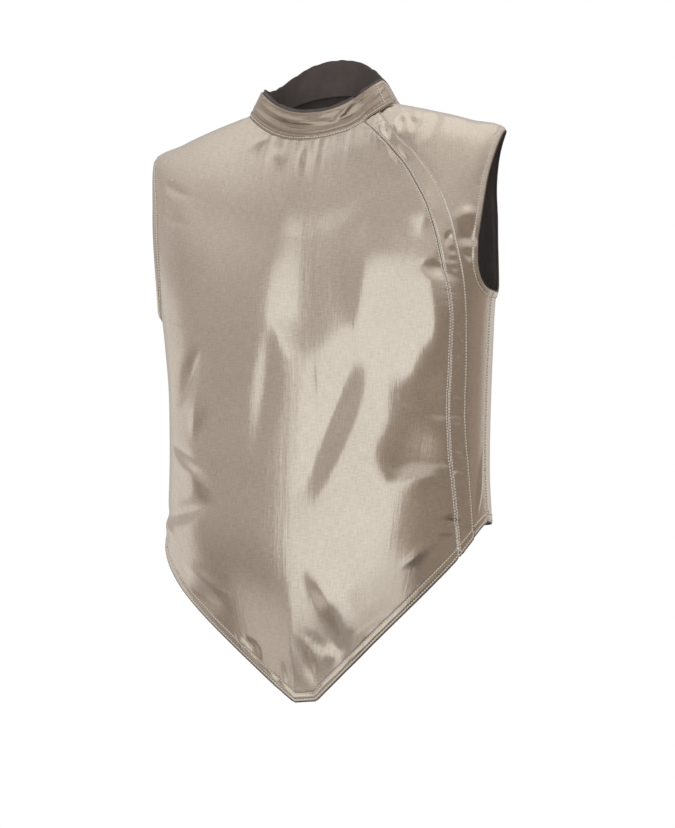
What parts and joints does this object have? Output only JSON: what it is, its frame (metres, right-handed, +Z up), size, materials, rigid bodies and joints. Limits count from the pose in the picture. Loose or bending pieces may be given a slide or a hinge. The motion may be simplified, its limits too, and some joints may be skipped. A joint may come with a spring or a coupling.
{
  "type": "foil lame",
  "caption": "Sleeveless fencing jacket of metallic cloth in its worn shape: stand collar, lapped side closing, open armholes and a pointed front hem.",
  "frame": {"origin": "midway between the wearer's shoulders, about level with the sides of the neck, where the wearer holds the jacket up", "axes": "+Z up, -Y out of the wearer's chest, +X to the wearer's left"},
  "size_m": [0.399, 0.2468, 0.7279],
  "materials": {
    "foil_cloth": "plain weave of silvery beige metallic yarn with a satin shine",
    "lining": "matt brown-grey woven lining",
    "thread": "pale polyester sewing thread of the topstitching"
  },
  "bodies": {
    "root": {"front_panel": "foil_cloth", "left_front_panel": "foil_cloth", "closure_flap": "foil_cloth", "back_panel": "foil_cloth", "collar": "foil_cloth", "collar_lining": "lining"}
  },
  "joints": []
}
